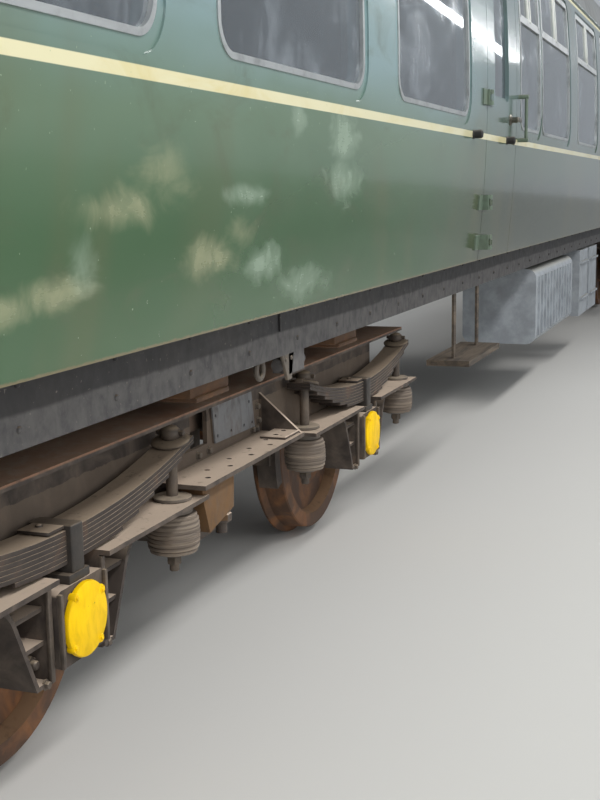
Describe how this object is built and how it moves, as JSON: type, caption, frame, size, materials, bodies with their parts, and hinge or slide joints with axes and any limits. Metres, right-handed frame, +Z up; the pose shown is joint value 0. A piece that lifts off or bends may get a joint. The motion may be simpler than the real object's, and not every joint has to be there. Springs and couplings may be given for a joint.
{
  "type": "passenger coach",
  "caption": "Gangwayed passenger coach with slam doors and sprung bogies; runs on rails behind or between other vehicles.",
  "frame": {"origin": "middle of the coach, at the level its wheel flanges stand on", "axes": "+X along the coach, +Y across it, +Z up"},
  "size_m": [20.52, 2.9346, 3.8828],
  "materials": {
    "body_green": "glossy mid green paint, hazy from polishing",
    "roof_grey": "dull grey roof paint",
    "end_black": "dull black paint",
    "underframe_black": "black paint under brown dust",
    "bogie_brown": "brown dust over worn black paint",
    "spring_steel": "dusty rusty spring steel",
    "tyre_steel": "brown rust with a worn bright tread",
    "rubber_grey": "dusty grey layered rubber",
    "cover_yellow": "bright yellow paint",
    "window_bright": "dull bright aluminium",
    "window_clear": "clear glass",
    "floor_lino": "brown floor covering",
    "bellows_black": "black proofed canvas",
    "screen_wood": "varnished veneer",
    "seat_metal": "painted steel seat frame",
    "seat_cloth": "dark red moquette",
    "rack_metal": "bright tube",
    "buffer_steel": "greasy black steel",
    "gear_grey": "pale grey paint",
    "board_wood": "weathered footboard",
    "fitting_dark": "dark fittings"
  },
  "bodies": {
    "coach_body": {"underframe": "underframe_black", "floor": "floor_lino", "roof": "roof_grey", "roof_vents": "roof_grey", "end_wall_front": "end_black", "end_wall_rear": "end_black", "gangway_bellows": "bellows_black", "gangway_face_plates": "end_black", "window_frames": "window_bright", "window_glass": "window_clear", "door_fittings": "fitting_dark", "draught_screens": "screen_wood", "seat_frames": "seat_metal", "seat_cushions": "seat_cloth", "luggage_racks": "rack_metal", "buffers": "buffer_steel", "drawgear": "buffer_steel", "footboards": "board_wood", "tank": "gear_grey", "equipment_cases": "gear_grey", "reservoirs_and_brake_cylinders": "underframe_black", "side_near_front": "body_green", "side_near_middle": "body_green", "side_near_rear": "body_green", "side_far_front": "body_green", "side_far_middle": "body_green", "side_far_rear": "body_green"},
    "door_near_front": {"door_near_front": "body_green", "droplight_near_front": "window_clear"},
    "door_near_rear": {"door_near_rear": "body_green", "droplight_near_rear": "window_clear"},
    "door_far_front": {"door_far_front": "body_green", "droplight_far_front": "window_clear"},
    "door_far_rear": {"door_far_rear": "body_green", "droplight_far_rear": "window_clear"},
    "end_door_front": {"end_door_front": "body_green", "end_door_glass_front": "window_clear"},
    "end_door_rear": {"end_door_rear": "body_green", "end_door_glass_rear": "window_clear"},
    "bogie_front": {"bogie_front_frame": "bogie_brown", "bogie_front_leaf_springs": "spring_steel", "bogie_front_spring_hangers": "spring_steel", "bogie_front_rubber_springs": "rubber_grey", "bogie_front_axleboxes": "bogie_brown", "bogie_front_axlebox_covers": "cover_yellow", "bogie_front_bolster": "bogie_brown", "bogie_front_brakes": "bogie_brown"},
    "wheelset_front_outer": {"wheelset_front_outer": "tyre_steel"},
    "wheelset_front_inner": {"wheelset_front_inner": "tyre_steel"},
    "bogie_rear": {"bogie_rear_frame": "bogie_brown", "bogie_rear_leaf_springs": "spring_steel", "bogie_rear_spring_hangers": "spring_steel", "bogie_rear_rubber_springs": "rubber_grey", "bogie_rear_axleboxes": "bogie_brown", "bogie_rear_axlebox_covers": "cover_yellow", "bogie_rear_bolster": "bogie_brown", "bogie_rear_brakes": "bogie_brown"},
    "wheelset_rear_outer": {"wheelset_rear_outer": "tyre_steel"},
    "wheelset_rear_inner": {"wheelset_rear_inner": "tyre_steel"}
  },
  "joints": [
    {"name": "bogie_front_swivel", "type": "hinge", "parent": "coach_body", "child": "bogie_front", "pos_m": [-7.087, 0, 0.958], "axis": [0, 0, 1], "range_deg": [-4, 4]},
    {"name": "wheelset_front_outer_spin", "type": "hinge", "parent": "bogie_front", "child": "wheelset_front_outer", "pos_m": [-8.3825, 0, 0.485], "axis": [0, 1, 0], "continuous": true},
    {"name": "wheelset_front_inner_spin", "type": "hinge", "parent": "bogie_front", "child": "wheelset_front_inner", "pos_m": [-5.7915, 0, 0.485], "axis": [0, 1, 0], "continuous": true},
    {"name": "bogie_rear_swivel", "type": "hinge", "parent": "coach_body", "child": "bogie_rear", "pos_m": [7.087, 0, 0.958], "axis": [0, 0, 1], "range_deg": [-4, 4]},
    {"name": "wheelset_rear_outer_spin", "type": "hinge", "parent": "bogie_rear", "child": "wheelset_rear_outer", "pos_m": [8.3825, 0, 0.485], "axis": [0, 1, 0], "continuous": true},
    {"name": "wheelset_rear_inner_spin", "type": "hinge", "parent": "bogie_rear", "child": "wheelset_rear_inner", "pos_m": [5.7915, 0, 0.485], "axis": [0, 1, 0], "continuous": true},
    {"name": "door_near_front_hinge", "type": "hinge", "parent": "coach_body", "child": "door_near_front", "pos_m": [-4.844, -1.428, 1.928], "axis": [0, 0, -1], "range_deg": [0, 160]},
    {"name": "door_near_rear_hinge", "type": "hinge", "parent": "coach_body", "child": "door_near_rear", "pos_m": [4.03, -1.428, 1.928], "axis": [0, 0, -1], "range_deg": [0, 160]},
    {"name": "door_far_front_hinge", "type": "hinge", "parent": "coach_body", "child": "door_far_front", "pos_m": [-4.03, 1.428, 1.928], "axis": [0, 0, -1], "range_deg": [0, 160]},
    {"name": "door_far_rear_hinge", "type": "hinge", "parent": "coach_body", "child": "door_far_rear", "pos_m": [4.844, 1.428, 1.928], "axis": [0, 0, -1], "range_deg": [0, 160]},
    {"name": "end_door_rear_hinge", "type": "hinge", "parent": "coach_body", "child": "end_door_rear", "pos_m": [9.754, 0.377, 2.228], "axis": [0, 0, -1], "range_deg": [0, 90]},
    {"name": "end_door_front_hinge", "type": "hinge", "parent": "coach_body", "child": "end_door_front", "pos_m": [-9.754, -0.377, 2.228], "axis": [0, 0, -1], "range_deg": [0, 90]}
  ]
}
